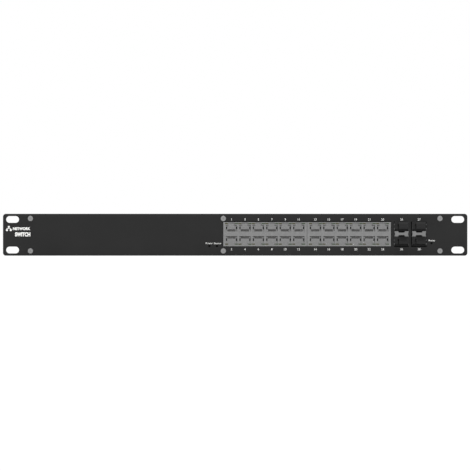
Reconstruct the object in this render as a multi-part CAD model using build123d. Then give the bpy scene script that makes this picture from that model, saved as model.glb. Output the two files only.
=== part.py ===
from build123d import *

import os

# A 1U rack-mount network switch: 24 shielded modular jacks in two ganged blocks, two stacked
# two-bay module cages with dust plugs, a steel case, a mains inlet and the boards inside.
# Millimetres. +X is right seen from the front, -Y is the front, +Z is up. The origin is the bottom
# centre of the bounding box.

# ---------------------------------------------------------------- driving dimensions

# Front plate: the 19-inch rack panel, one rack unit high
PLATE_W, PLATE_H, PLATE_T = 482.6, 43.5, 2.0
PLATE_CORNER_R = 3.0
SLOT_LENGTH, SLOT_WIDTH = 13.3, 7.0
SLOT_SPACING_X, SLOT_SPACING_Z = 462.6, 31.75
FACE_SCREW_X = (-212.8, -12.3, 212.8)
FACE_SCREW_SPACING_Z = 33.7

# Case
CASE_W, CASE_D, CASE_H = 440.0, 200.0, 43.0
SHEET = 1.0
COVER_GAP = 0.1
SIDE_FLANGE_H = 14.0

# How far the pieces stand out in front and behind
PLUG_PROUD = 5.4
STUD_PROUD = 8.0
CONNECTOR_PROUD = 0.4

# Modular jacks: two blocks of six columns and two rows
PORT_PITCH = 13.97
PORT_COLUMNS = 6
JACK_MID_Z = 22.67
JACK_Z = (9.83, 34.93)
JACK_W, JACK_D = 86.9, 32.0
JACK_BLOCK_X = (31.1, 118.3)
SHIELD_T = 0.25
CAVITY_HALF_W = 5.95
CAVITY_NEAR, CAVITY_FAR = 2.48, 9.15
CAVITY_D = 14.0
NOTCH_HALF_W, NOTCH_FAR, NOTCH_D = 3.15, 11.5, 12.0
LENS_NEAR_X, LENS_FAR_X = 3.5, 6.8
LENS_LOW, LENS_HIGH = 10.05, 11.35
LENS_D = 6.0
COMB_HALF_W, COMB_TOP, COMB_START, COMB_SLOT_D = 4.15, 4.8, 9.5, 30.0
CONTACTS, CONTACT_PITCH = 8, 1.02
CONTACT_W, CONTACT_T = 0.42, 0.3
GROOVE_W, GROOVE_FLOOR, GROOVE_START = 0.7, 1.6, 1.2
WINDOW_X, WINDOW_W, WINDOW_Z, WINDOW_D = 5.15, 1.2, (4.7, 7.5), 30.0

# Stacked module cages, two bays each
CAGE_X = (172.9, 191.1)
CAGE_W, CAGE_Z, CAGE_D, CAGE_T = 14.3, (9.8, 35.05), 56.0, 0.3
BAY_HALF_W = 6.85
BAY_Z = {"lower": (10.1, 19.35), "upper": (25.75, 34.75)}
BAY_D = 38.0
CAGE_CUTOUT_X, CAGE_CUTOUT_Z = ((165.1, 180.35), (182.75, 198.9)), (9.1, 35.5)
FINGER_Z = (12.3, 16.1, 28.2, 32.4)
BEZEL_Z = (19.95, 25.4)

# Main board
BOARD_T = 1.6
MAIN_TOP = 9.7
MAIN_X, MAIN_Y = (-40.0, 214.0), (-96.5, 45.0)
MAIN_POSTS = ((-34, -62), (42.5, -62), (107.5, -62), (207, -62), (-34, 38), (84, 38), (207, 38))

# Power supply board
PSU_TOP = 8.6
PSU_X, PSU_Y = (-212.0, -92.0), (-10.0, 76.0)
PSU_POSTS = ((-206, -4), (-98, -4), (-206, 70), (-98, 70))

# Indicators and reset switch
INDICATOR_X, INDICATOR_Z, INDICATOR_R = (-26.8, -19.0), 10.0, 1.1
RESET_X, RESET_Z, RESET_HOLE_R = 204.0, 12.95, 1.05
RESET_TRAVEL = 0.3

# Back wall
INLET_X, INLET_Z = -175.0, 21.5
INLET_FLANGE_W, INLET_FLANGE_H, INLET_FLANGE_T = 50.0, 24.0, 3.2
INLET_SCREW_SPACING = 40.0
STUD_X, STUD_Z, STUD_R, STUD_ROOT_R = -130.0, 14.0, 2.0, 2.6
STUD_ROOT = 4.0

# Places along Y, worked out from the depths above
TOTAL_D = PLUG_PROUD + PLATE_T + CASE_D + STUD_PROUD
FRONT = -TOTAL_D / 2 + PLUG_PROUD
CASE_FRONT = FRONT + PLATE_T
BACK = CASE_FRONT + CASE_D
WALL_BACK = CASE_FRONT + SHEET
CONNECTOR_FRONT = FRONT - CONNECTOR_PROUD
MID_Z = PLATE_H / 2
COVER_HALF = CASE_W / 2
TRAY_HALF = COVER_HALF - SHEET - COVER_GAP
TRAY_TOP = CASE_H - SHEET - COVER_GAP


# ---------------------------------------------------------------- helpers

def block(xs, ys, zs):
    """A box between a low and a high value on each axis."""
    lows, highs = zip(xs, ys, zs)
    size = [high - low for low, high in zip(lows, highs)]
    centre = [(low + high) / 2 for low, high in zip(lows, highs)]
    return Pos(*centre) * Box(*size)


def rod_x(y, z, radius, xs):
    """A round bar along X."""
    return Pos(sum(xs) / 2, y, z) * Rot(0, 90, 0) * Cylinder(radius, xs[1] - xs[0])


def rod_y(x, z, radius, ys):
    """A round bar along Y."""
    return Pos(x, sum(ys) / 2, z) * Rot(90, 0, 0) * Cylinder(radius, ys[1] - ys[0])


def rod_z(x, y, radius, zs):
    """A round bar along Z."""
    return Pos(x, y, sum(zs) / 2) * Cylinder(radius, zs[1] - zs[0])


def wall_xz(sketch, ys):
    """A sketch drawn in X and Z, extruded along Y between two values."""
    return Plane.XZ * Pos(0, 0, -ys[1]) * extrude(sketch, ys[1] - ys[0], dir=(0, 0, 1))


def wall_yz(sketch, xs):
    """A sketch drawn in Y and Z, extruded along X between two values."""
    return Plane.YZ * Pos(0, 0, xs[0]) * extrude(sketch, xs[1] - xs[0], dir=(0, 0, 1))


def patch(us, vs):
    """A rectangle sketch between a low and a high value on both of its axes."""
    return Pos(sum(us) / 2, sum(vs) / 2) * Rectangle(us[1] - us[0], vs[1] - vs[0])


def merged(shapes):
    """One shape made of separate solids, kept as they are."""
    return Compound(children=list(shapes))


def port_centres(block_x):
    """The X of each column of ports in a block centred on block_x."""
    first = block_x - PORT_PITCH * (PORT_COLUMNS - 1) / 2
    return [first + PORT_PITCH * column for column in range(PORT_COLUMNS)]


def ports(block_x):
    """Each port of a block as its X and its row, +1 above the middle line and -1 below."""
    return [(x, row) for x in port_centres(block_x) for row in (1, -1)]


def row_z(row, near, far):
    """A span of heights away from the middle line of the jacks, above or below it."""
    return tuple(sorted((JACK_MID_Z + row * near, JACK_MID_Z + row * far)))


def contact_offsets():
    """The X of each contact from the middle of its port."""
    return [(index - (CONTACTS - 1) / 2) * CONTACT_PITCH for index in range(CONTACTS)]


# ---------------------------------------------------------------- case

def face_screw_places():
    """The X and Z of each screw that holds the front plate."""
    half = FACE_SCREW_SPACING_Z / 2
    return [(x, MID_Z + side * half) for x in FACE_SCREW_X for side in (1, -1)]


def rack_slot_places():
    """The X and Z of each rack slot."""
    return [
        (side_x * SLOT_SPACING_X / 2, MID_Z + side_z * SLOT_SPACING_Z / 2)
        for side_x in (-1, 1)
        for side_z in (-1, 1)
    ]


def jack_opening(margin_side, margin_top, margin_bottom):
    """The one opening in a wall that both jack blocks pass through."""
    left = JACK_BLOCK_X[0] - JACK_W / 2 - margin_side
    right = JACK_BLOCK_X[1] + JACK_W / 2 + margin_side
    return patch((left, right), (JACK_Z[0] - margin_bottom, JACK_Z[1] + margin_top))


def front_plate():
    """The rack panel: 2 mm steel with slotted ears and openings for every connector."""
    cuts = [Pos(x, z) * SlotOverall(SLOT_LENGTH, SLOT_WIDTH) for x, z in rack_slot_places()]
    cuts += [Pos(x, z) * Circle(1.7) for x, z in face_screw_places()]
    cuts += [Pos(x, INDICATOR_Z) * Circle(INDICATOR_R) for x in INDICATOR_X]
    cuts.append(Pos(RESET_X, RESET_Z) * Circle(RESET_HOLE_R))
    cuts.append(jack_opening(0.3, 1.1, 0.2))
    cuts += [patch(xs, CAGE_CUTOUT_Z) for xs in CAGE_CUTOUT_X]
    outline = Pos(0, MID_Z) * RectangleRounded(PLATE_W, PLATE_H, PLATE_CORNER_R)
    plate = wall_xz(outline - cuts, (FRONT, CASE_FRONT))
    rim = plate.faces().sort_by(Axis.Y)[0].outer_wire().edges()
    return chamfer(rim, 0.3)


def base_tray():
    """The folded bottom of the case: floor, front and back walls, low sides and top flanges."""
    inner_front, inner_back = WALL_BACK, BACK - SHEET
    floor = block((-TRAY_HALF, TRAY_HALF), (CASE_FRONT, BACK), (0, SHEET))
    bottom_rim = floor.faces().sort_by(Axis.Z)[0].edges()
    floor = fillet(bottom_rim, SHEET * 0.7)

    wall = patch((-TRAY_HALF, TRAY_HALF), (SHEET * 0.7, TRAY_TOP))
    front_cuts = [jack_opening(1.0, 1.6, 0.13)]
    cage_low, cage_high = CAGE_CUTOUT_X[0][0] - 0.6, CAGE_CUTOUT_X[1][1] + 0.6
    front_cuts.append(patch((cage_low, cage_high), (8.9, 37.2)))
    front_cuts += [Pos(x, z) * Circle(2.1) for x, z in face_screw_places()]
    front_cuts.append(patch((INDICATOR_X[0] - 3, INDICATOR_X[1] + 3), (8.0, 12.5)))
    front_cuts.append(Pos(RESET_X, RESET_Z) * Circle(2.0))
    front = wall_xz(wall - front_cuts, (CASE_FRONT, inner_front))

    back_cuts = [Pos(INLET_X, INLET_Z) * Rectangle(28.2, 20.8)]
    half = INLET_SCREW_SPACING / 2
    back_cuts += [Pos(INLET_X + side * half, INLET_Z) * Circle(1.65) for side in (-1, 1)]
    back_cuts.append(Pos(STUD_X, STUD_Z) * Circle(STUD_ROOT_R + 0.1))
    back = wall_xz(wall - back_cuts, (inner_back, BACK))

    flange_x = (-TRAY_HALF + 4, TRAY_HALF - 4)
    flange_z = (TRAY_TOP - SHEET, TRAY_TOP)
    front_flange = block(flange_x, (inner_front, inner_front + 7), flange_z)
    nut_reliefs = [block((x - 3.5, x + 3.5), (inner_front, 0), (30, CASE_H)) for x in FACE_SCREW_X]
    front_flange -= nut_reliefs
    back_flange = block(flange_x, (inner_back - 10, inner_back), flange_z)
    relief = 1.5
    side_y = (inner_front + relief, inner_back - relief)
    tray = floor + front + back + front_flange + back_flange
    for side in (-1, 1):
        xs = tuple(sorted((side * TRAY_HALF, side * (TRAY_HALF - SHEET))))
        tray += block(xs, side_y, (SHEET * 0.7, SIDE_FLANGE_H))
    for x, y, z in side_screw_places():
        tray -= rod_x(y, z, 2.1, tuple(sorted((x, x - (3 if x > 0 else -3)))))
    for x, y in back_screw_places():
        tray -= rod_z(x, y, 2.1, (TRAY_TOP - 2, TRAY_TOP + 1))
    for x, y in MAIN_POSTS + PSU_POSTS:
        tray -= rod_z(x, y, 1.6, (-1, 2))
    return tray


COVER_SCREW_Z = 8.0
COVER_SCREW_Y = (-78.0, 0.0, 78.0)
COVER_BACK_SCREW_X = (-150.0, 0.0, 150.0)


def side_screw_places():
    """The X, Y and Z of each cover screw on the two sides, at the cover's outer face."""
    return [(side * COVER_HALF, y, COVER_SCREW_Z) for side in (-1, 1) for y in COVER_SCREW_Y]


def back_screw_places():
    """The X and Y of each cover screw on the top, near the back edge."""
    return [(x, BACK - SHEET - 5.5) for x in COVER_BACK_SCREW_X]


VENT_PITCH, VENT_WIDTH, VENT_Z = 6.0, 2.6, (17.5, 37.5)
VENT_GROUPS = ((-84.0, 11), (18.0, 11))


def vent_places():
    """The Y of each upright vent slot on a side."""
    return [start + VENT_PITCH * index for start, count in VENT_GROUPS for index in range(count)]


def top_cover():
    """The folded lid: top and two vented sides, screwed down at the sides and the back."""
    outer = patch((-COVER_HALF, COVER_HALF), (0.3, CASE_H))
    inner_half = COVER_HALF - SHEET
    profile = outer - patch((-inner_half, inner_half), (0.3, CASE_H - SHEET))
    corners = profile.vertices().sort_by(Axis.Y)
    profile = fillet(corners[-2:], 1.5)
    inner_corners = profile.vertices().filter_by_position(
        Axis.Y, CASE_H - SHEET - 0.01, CASE_H - SHEET + 0.01
    )
    profile = fillet(inner_corners, 0.2)
    cover = wall_xz(profile, (CASE_FRONT + 0.1, BACK))
    cuts = []
    mid_z, height = sum(VENT_Z) / 2, VENT_Z[1] - VENT_Z[0]
    for side in (-1, 1):
        for y in vent_places():
            slot = Pos(y, mid_z) * Rot(0, 0, 90) * SlotOverall(height, VENT_WIDTH)
            cuts.append(wall_yz(slot, tuple(sorted((side * (COVER_HALF - 3), side * (COVER_HALF + 1))))))
    for x, y, z in side_screw_places():
        cuts.append(rod_x(y, z, 1.7, tuple(sorted((x * 1.01, x * 0.99)))))
        cuts.append(countersink_x(x, y, z))
    for x, y in back_screw_places():
        cuts.append(rod_z(x, y, 1.7, (CASE_H - 2, CASE_H + 1)))
        cuts.append(Pos(x, y, CASE_H - 0.4) * Cone(2.25, 3.05, 0.8))
    return cover - cuts


def countersink_x(x, y, z):
    """The cone that a flat screw head sits in, in a side wall with its outer face at x."""
    turn = 90 if x > 0 else -90
    return Pos(x - (0.4 if x > 0 else -0.4), y, z) * Rot(0, turn, 0) * Cone(2.25, 3.05, 0.8)


def hex_recess(depth, across):
    """A six-sided socket with its mouth at z = 0, going down."""
    return extrude(RegularPolygon(across / 2, 6, major_radius=False), -depth)


def button_screw(head_r, head_h, shank_r, length):
    """A domed socket-head screw along Z: the seat of its head is at z = 0, its shank below."""
    head = Pos(0, 0, head_h / 2) * Cylinder(head_r, head_h)
    head = fillet(head.edges().filter_by(GeomType.CIRCLE).sort_by(Axis.Z)[-1], head_h * 0.4)
    shank = Pos(0, 0, -length / 2) * Cylinder(shank_r, length)
    shank = chamfer(shank.edges().filter_by(GeomType.CIRCLE).sort_by(Axis.Z)[0], shank_r * 0.3)
    return head + shank - Pos(0, 0, head_h) * hex_recess(head_h * 0.65, 2.0)


def flat_screw(head_r, shank_r, length):
    """A countersunk screw along Z with its flat top at z = 0."""
    head = Pos(0, 0, -0.4) * Cone(shank_r + 0.35, head_r, 0.8)
    shank = Pos(0, 0, -0.8 - length / 2) * Cylinder(shank_r, length)
    cross = Box(2.6, 0.6, 1.0) + Box(0.6, 2.6, 1.0)
    return head + shank - Pos(0, 0, 0) * cross


def face_screws():
    """Six domed screws through the front plate."""
    screw = button_screw(2.95, 1.4, 1.45, 5.5)
    return merged(
        Pos(x, FRONT, z) * Rot(90, 0, 0) * screw for x, z in face_screw_places()
    )


def press_nut(outer_r, bore_r, height, collar_r=2.05):
    """A pressed-in nut along Z: a collar in the sheet below z = 0 and a flanged body above it."""
    body = Pos(0, 0, height / 2) * Cylinder(outer_r, height)
    collar = Pos(0, 0, -SHEET * 0.45) * Cylinder(collar_r, SHEET * 0.9)
    return body + collar - Cylinder(bore_r, 20)


def face_nuts():
    """Six pressed nuts behind the case's front wall."""
    nut = press_nut(2.75, 1.5, 2.6)
    return merged(
        Pos(x, WALL_BACK, z) * Rot(-90, 0, 0) * nut for x, z in face_screw_places()
    )


def cover_screws():
    """Nine flat screws that hold the cover."""
    screw = flat_screw(2.95, 1.45, 3.0)
    made = []
    for x, y, z in side_screw_places():
        made.append(Pos(x, y, z) * Rot(0, 90 if x > 0 else -90, 0) * screw)
    for x, y in back_screw_places():
        made.append(Pos(x, y, CASE_H) * screw)
    return merged(made)


def cover_nuts():
    """Nine pressed nuts that the cover's screws run into."""
    nut = press_nut(2.75, 1.5, 2.2)
    made = []
    for x, y, z in side_screw_places():
        side = 1 if x > 0 else -1
        made.append(Pos(side * (TRAY_HALF - SHEET), y, z) * Rot(0, -90 * side, 0) * nut)
    for x, y in back_screw_places():
        made.append(Pos(x, y, TRAY_TOP - SHEET) * Rot(180, 0, 0) * nut)
    return merged(made)


# ---------------------------------------------------------------- modular jacks

def jack_face(block_x, grow):
    """The openings of one block's ports as sketches: plug cavities with their latch notches."""
    cuts = []
    for x, row in ports(block_x):
        side = CAVITY_HALF_W + grow
        cuts.append(patch((x - side, x + side), row_z(row, CAVITY_NEAR - grow, CAVITY_FAR + grow)))
        notch = NOTCH_HALF_W + grow
        cuts.append(patch((x - notch, x + notch), row_z(row, CAVITY_FAR - 1, NOTCH_FAR + grow)))
    return cuts


def lens_spans(x, row):
    """The X and Z spans of a port's two lamp windows, left then right."""
    zs = row_z(row, LENS_LOW, LENS_HIGH)
    return [(tuple(sorted((x + side * LENS_NEAR_X, x + side * LENS_FAR_X))), zs) for side in (-1, 1)]


def jack_shield(block_x):
    """The stamped metal can round one block, open underneath, with a window for every port."""
    half = JACK_W / 2
    back = CONNECTOR_FRONT + JACK_D
    xs = (block_x - half, block_x + half)
    cuts = jack_face(block_x, 0)
    cuts += [patch(*span) for x, row in ports(block_x) for span in lens_spans(x, row)]
    face = wall_xz(patch(xs, JACK_Z) - cuts, (CONNECTOR_FRONT, CONNECTOR_FRONT + SHIELD_T))
    shell = block(xs, (CONNECTOR_FRONT + SHIELD_T, back), JACK_Z)
    hollow = block(
        (xs[0] + SHIELD_T, xs[1] - SHIELD_T),
        (CONNECTOR_FRONT, back - SHIELD_T),
        (JACK_Z[0] - 1, JACK_Z[1] - SHIELD_T),
    )
    return face + (shell - hollow)


def jack_housing(block_x):
    """The moulded body inside a can: twelve plug cavities, each with a comb for its contacts."""
    half = JACK_W / 2 - SHIELD_T - 0.05
    front = CONNECTOR_FRONT + SHIELD_T + 0.03
    back = CONNECTOR_FRONT + JACK_D - SHIELD_T - 0.1
    zs = (JACK_Z[0] + 0.1, JACK_Z[1] - SHIELD_T - 0.05)
    body = block((block_x - half, block_x + half), (front, back), zs)

    def depth(near, far):
        return (CONNECTOR_FRONT + near, CONNECTOR_FRONT + far)

    open_cavity, back_cavity, notches, lenses, windows, grooves, slots = ([] for _ in range(7))
    for x, row in ports(block_x):
        full_z = row_z(row, CAVITY_NEAR, CAVITY_FAR)
        above_comb = row_z(row, COMB_TOP, CAVITY_FAR)
        beside_comb = row_z(row, CAVITY_NEAR, COMB_TOP)
        span = (x - CAVITY_HALF_W, x + CAVITY_HALF_W)
        open_cavity.append(patch(span, full_z))
        back_cavity.append(patch(span, above_comb))
        back_cavity.append(patch((span[0], x - COMB_HALF_W), beside_comb))
        back_cavity.append(patch((x + COMB_HALF_W, span[1]), beside_comb))
        notches.append(patch((x - NOTCH_HALF_W, x + NOTCH_HALF_W), row_z(row, CAVITY_FAR, NOTCH_FAR)))
        lenses += [patch(*spans) for spans in lens_spans(x, row)]
        for side in (-1, 1):
            window_x = x + side * WINDOW_X
            span_x = (window_x - WINDOW_W / 2, window_x + WINDOW_W / 2)
            windows.append(patch(span_x, row_z(row, *WINDOW_Z)))
        for offset in contact_offsets():
            groove_x = (x + offset - GROOVE_W / 2, x + offset + GROOVE_W / 2)
            slots.append(patch(groove_x, beside_comb))
            grooves.append(patch(groove_x, row_z(row, GROOVE_FLOOR, CAVITY_NEAR)))

    body -= wall_xz(Sketch(open_cavity), depth(0, COMB_START))
    body -= wall_xz(Sketch(notches), depth(0, NOTCH_D))
    body -= wall_xz(Sketch(grooves), depth(GROOVE_START, COMB_START + 0.2))
    body -= wall_xz(Sketch(lenses), depth(0, LENS_D))
    body -= wall_xz(Sketch(windows), depth(CAVITY_D - 0.5, WINDOW_D))
    body -= wall_xz(Sketch(back_cavity), depth(COMB_START - 0.1, CAVITY_D))
    body -= wall_xz(Sketch(slots), depth(COMB_START - 0.1, COMB_SLOT_D))
    return body


def contact_wire(x, row):
    """One spring contact: a flat return leg in its groove and a ramp back into the comb."""
    leg_near, leg_far = 1.65, 1.65 + CONTACT_T
    points = [
        (1.7, leg_near),
        (9.4, leg_near),
        (9.4, leg_far),
        (2.3, leg_far),
        (13.4, 3.75),
        (13.4, 3.75 + CONTACT_T),
        (1.5, 2.05),
    ]
    outline = Polygon(
        *[(CONNECTOR_FRONT + y, JACK_MID_Z + row * z) for y, z in points], align=None
    )
    return wall_yz(outline, (x - CONTACT_W / 2, x + CONTACT_W / 2))


def jack_contacts(block_x):
    """All the contacts of one block, eight to a port."""
    return merged(
        contact_wire(x + offset, row) for x, row in ports(block_x) for offset in contact_offsets()
    )


def jack_lenses(which):
    """The lamp lenses of one colour: which is 0 for each port's left window, 1 for its right."""
    gap = 0.04
    ys = (CONNECTOR_FRONT + 0.08, CONNECTOR_FRONT + LENS_D - 0.1)
    made = []
    for block_x in JACK_BLOCK_X:
        for x, row in ports(block_x):
            xs, zs = lens_spans(x, row)[which]
            made.append(block((xs[0] + gap, xs[1] - gap), ys, (zs[0] + gap, zs[1] - gap)))
    return merged(made)


# ---------------------------------------------------------------- module cages

CAGE_FRONT = FRONT


def module_cage(x):
    """A folded cage with an upper and a lower bay and a hollow between them."""
    half = CAGE_W / 2
    back = CAGE_FRONT + CAGE_D
    cage = block((x - half, x + half), (CAGE_FRONT, back), CAGE_Z)
    bay_x = (x - BAY_HALF_W, x + BAY_HALF_W)
    bay_y = (CAGE_FRONT - 1, CAGE_FRONT + BAY_D)
    for zs in BAY_Z.values():
        cage -= block(bay_x, bay_y, zs)
    between = (BAY_Z["lower"][1] + CAGE_T, BAY_Z["upper"][0] - CAGE_T)
    cage -= block(bay_x, bay_y, between)
    inside = (BAY_Z["lower"][0], BAY_Z["upper"][1])
    cage -= block(bay_x, (CAGE_FRONT + BAY_D - 0.1, back - CAGE_T), inside)
    return cage


def spring_finger(length, bulge, thickness):
    """A strip sketch bowed outwards: it lies along the first axis and bulges along the second."""
    outer = ThreePointArc((0, 0), (length * 0.55, bulge), (length, 0))
    inner = ThreePointArc((length, -thickness), (length * 0.55, bulge - thickness), (0, -thickness))
    rim = [outer, Line(outer @ 1, inner @ 0), inner, Line(inner @ 1, outer @ 0)]
    return make_face(rim)


def cage_collar(x, side):
    """The earthing clip over a cage's mouth: a three-sided band with bowed fingers on its free
    side, each with a tab turned out at the front."""
    thick, gap = 0.15, 0.04
    band_y = (CAGE_FRONT + 0.4, CAGE_FRONT + 5.4)
    inner_half, inner_top = CAGE_W / 2 + gap, CAGE_Z[1] + gap
    outer_half = inner_half + thick
    outer = block((x - outer_half, x + outer_half), band_y, (CAGE_Z[0] + 0.6, inner_top + thick))
    inner_y = (band_y[0] - 1, band_y[1] + 1)
    collar = outer - block((x - inner_half, x + inner_half), inner_y, (0, inner_top))
    finger = spring_finger(4.4, 0.32, 0.12)
    start = CAGE_FRONT + 0.6
    for z in FINGER_Z:
        bowed = Pos(x + outer_half, start, z + 0.65) * Plane.YX.location * extrude(finger, 1.3)
        tab_x = (x + inner_half, x + outer_half + 0.38)
        bowed += block(tab_x, (band_y[0], band_y[0] + 0.12), (z - 0.65, z + 0.65))
        collar += bowed if side > 0 else mirror(bowed, Plane.YZ.offset(x))
    return collar


def cage_collars():
    """Both earthing clips."""
    return merged(cage_collar(x, side) for x, side in zip(CAGE_X, (-1, 1)))


def cage_bezel(x):
    """The flat bow-tie bracket across the middle of a cage, notched for the module latches."""
    low, high = BEZEL_Z
    half, waist_half, notch_half, notch_depth = 7.4, 2.8, 3.6, 1.4
    end_depth, end_half_h, middle = 0.6, 1.0, (low + high) / 2
    quarter = [
        (half - end_depth, middle + end_half_h),
        (half, high),
        (notch_half, high),
        (waist_half, high - notch_depth),
    ]
    upper = quarter + [(-u, v) for u, v in reversed(quarter)]
    corners = upper + [(u, 2 * middle - v) for u, v in reversed(upper)]
    outline = Polygon(*[(x + u, v) for u, v in corners], align=None)
    face = wall_xz(outline, (CAGE_FRONT - 0.45, CAGE_FRONT - 0.05))
    tail_z = (middle - 1.2, middle + 1.2)
    tail = block((x - 6.0, x + 6.0), (CAGE_FRONT - 0.1, CAGE_FRONT + 12), tail_z)
    return face + tail


def cage_latch(x, bay):
    """The sprung latch tongue at the mouth of a bay, with its triangular catch hole."""
    near_middle = BAY_Z["upper"][0] - CAGE_T if bay == "upper" else BAY_Z["lower"][1] + CAGE_T
    step = -1 if bay == "upper" else 1
    zs = tuple(sorted((near_middle + step * 0.1, near_middle + step * 0.4)))
    ys = (CAGE_FRONT + 0.6, CAGE_FRONT + 11.5)
    tongue = block((x - 2.2, x + 2.2), ys, zs)
    catch = Pos(x, CAGE_FRONT + 4.4) * Polygon((-1.3, -1.4), (1.3, -1.4), (0, 1.4), align=None)
    return tongue - Pos(0, 0, zs[0] - 0.5) * extrude(catch, 1.3)


def cage_latches():
    """The four latch tongues, one beside the divider in each bay."""
    return merged(cage_latch(x, bay) for x in CAGE_X for bay in BAY_Z)


def module_connector(x):
    """The tall receptacle at the back of a cage, with a card slot facing each bay."""
    ys = (CAGE_FRONT + BAY_D + 0.3, CAGE_FRONT + CAGE_D - CAGE_T - 0.2)
    body = block((x - 6.2, x + 6.2), ys, (BAY_Z["lower"][0] + 0.05, 33.0))
    for low, high in BAY_Z.values():
        middle = low + (high - low) * 0.42
        nose = block((x - 5.9, x + 5.9), (ys[0] - 7.0, ys[0]), (middle - 2.6, middle + 2.6))
        body += nose
        body -= block((x - 4.6, x + 4.6), (ys[0] - 8.0, ys[0] - 1.5), (middle - 0.7, middle + 0.7))
    return body


def module_connectors():
    """Both receptacles."""
    return merged(module_connector(x) for x in CAGE_X)


PLUG_FLANGE_T = 1.1
PLUG_TOP = {"lower": 19.85, "upper": 35.6}
PLUG_STEP_H, PLUG_STEP_D = 1.8, 4.0
PLUG_WALL = 1.2


def dust_plug(x, bay):
    """A moulded dust plug: hollow body with a stepped front, flange, wedge grip and pull slot."""
    low, high = BAY_Z[bay]
    clear, wall = 0.2, PLUG_WALL
    front_y, back_y = CAGE_FRONT - 0.6, CAGE_FRONT + 12.0
    half = BAY_HALF_W - clear
    body = block((x - half, x + half), (front_y, back_y), (low + clear, high - clear))
    body = fillet(body.edges().filter_by(Axis.Y), 0.6)
    step_y = CAGE_FRONT + PLUG_STEP_D
    body -= block((x - 9, x + 9), (front_y - 1, step_y), (low - 1, low + PLUG_STEP_H))
    inner_x = (x - half + wall, x + half - wall)
    inner_top = high - clear - wall
    body -= block(inner_x, (CAGE_FRONT + 1.0, back_y + 1), (low + PLUG_STEP_H + wall, inner_top))
    body -= block(inner_x, (step_y + wall, back_y + 1), (low + clear + wall, inner_top))

    flange_y = (front_y - PLUG_FLANGE_T, front_y + 0.1)
    flange_z = (low + PLUG_STEP_H, PLUG_TOP[bay])
    flange = block((x - 7.25, x + 7.25), flange_y, flange_z)
    flange = fillet(flange.edges().filter_by(Axis.Y), 0.6)

    tip, root = FRONT - PLUG_PROUD, flange_y[0] + 0.2
    foot, head = flange_z[0] + 0.3, flange_z[1] - 0.5
    wedge = Polygon(
        (root, foot), (root, head), (root - 0.9, head), (tip, foot + 2.4), (tip, foot), align=None
    )
    grip = wall_yz(wedge, (x - 2.9, x + 6.6))
    for index in range(3):
        rib_z = foot + 3.1 + index * 1.1
        rib_y = tip + 0.72 * (rib_z - foot - 2.4)
        grip -= rod_x(rib_y, rib_z, 0.22, (x - 3.5, x + 7.5))
    slot = block((x - 4.0, x - 3.0), (flange_y[0] - 1, CAGE_FRONT + 2), (low + 2.2, high - 2.0))
    return body + flange + grip - slot


# ---------------------------------------------------------------- main board

CHIP_AT = (75.0, -12.0)
PHY_AT = ((10.0, -54.0), (75.0, -54.0), (140.0, -54.0))
SINK_PIN_OFFSETS = ((-26, 26), (26, -26))


def sink_pin_places():
    """The X and Y of the push pins of the big heatsink."""
    return [(CHIP_AT[0] + dx, CHIP_AT[1] + dy) for dx, dy in SINK_PIN_OFFSETS]


def main_board():
    """The main circuit board."""
    board = block(MAIN_X, MAIN_Y, (MAIN_TOP - BOARD_T, MAIN_TOP))
    board -= block((CAGE_X[0] - 9, CAGE_X[1] + 8), (MAIN_Y[0] - 1, MAIN_Y[0] + 8.5), (0, 20))
    board = fillet(board.edges().filter_by(Axis.Z), 1.0)
    holes = [rod_z(x, y, 1.7, (0, 20)) for x, y in MAIN_POSTS]
    holes += [rod_z(x, y, 1.6, (0, 20)) for x, y in sink_pin_places()]
    return board - holes


def post_places():
    """The X, Y and board top of every post, for both boards."""
    return [(x, y, MAIN_TOP) for x, y in MAIN_POSTS] + [(x, y, PSU_TOP) for x, y in PSU_POSTS]


def board_posts():
    """Threaded posts pressed into the floor, each with a bore through it."""
    made = []
    for x, y, board_top in post_places():
        top = board_top - BOARD_T
        post = rod_z(x, y, 3.0, (SHEET, top)) + rod_z(x, y, 1.55, (0.15, SHEET + 0.1))
        made.append(post - rod_z(x, y, 1.1, (2.0, top + 1)))
    return merged(made)


def board_screws():
    """Pan-head screws that hold both boards on their posts."""
    head = Pos(0, 0, 0.9) * Cylinder(2.7, 1.8)
    head = fillet(head.edges().filter_by(GeomType.CIRCLE).sort_by(Axis.Z)[-1], 0.9)
    cross = Pos(0, 0, 1.6) * (Box(2.4, 0.6, 1.2) + Box(0.6, 2.4, 1.2))
    screw = head + Pos(0, 0, -2.2) * Cylinder(1.05, 4.4) - cross
    return merged(Pos(x, y, top) * screw for x, y, top in post_places())


def switch_chip():
    """The switch controller: substrate and moulded body in one package."""
    x, y = CHIP_AT
    base = block((x - 12.5, x + 12.5), (y - 12.5, y + 12.5), (MAIN_TOP + 0.3, MAIN_TOP + 0.8))
    lid = block((x - 11.0, x + 11.0), (y - 11.0, y + 11.0), (MAIN_TOP + 0.8, MAIN_TOP + 1.9))
    balls = block((x - 11.5, x + 11.5), (y - 11.5, y + 11.5), (MAIN_TOP, MAIN_TOP + 0.3))
    return base + lid + balls


def thermal_pad():
    """The soft pad between chip and heatsink."""
    x, y = CHIP_AT
    return block((x - 11, x + 11), (y - 11, y + 11), (MAIN_TOP + 1.9, MAIN_TOP + 2.6))


def switch_heatsink():
    """An extruded heatsink: a base with upright fins and two holes for its pins."""
    x, y = CHIP_AT
    base_z = (MAIN_TOP + 2.6, MAIN_TOP + 5.6)
    sink = block((x - 30, x + 30), (y - 30, y + 30), base_z)
    fins, pitch = 13, 4.85
    for index in range(fins):
        fin_x = x + (index - (fins - 1) / 2) * pitch
        sink += block((fin_x - 0.6, fin_x + 0.6), (y - 30, y + 30), (base_z[1] - 0.2, 32.0))
    for pin_x, pin_y in sink_pin_places():
        sink -= rod_z(pin_x, pin_y, 4.2, (base_z[1], 40))
        sink -= rod_z(pin_x, pin_y, 1.7, (0, 40))
    return sink


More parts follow.
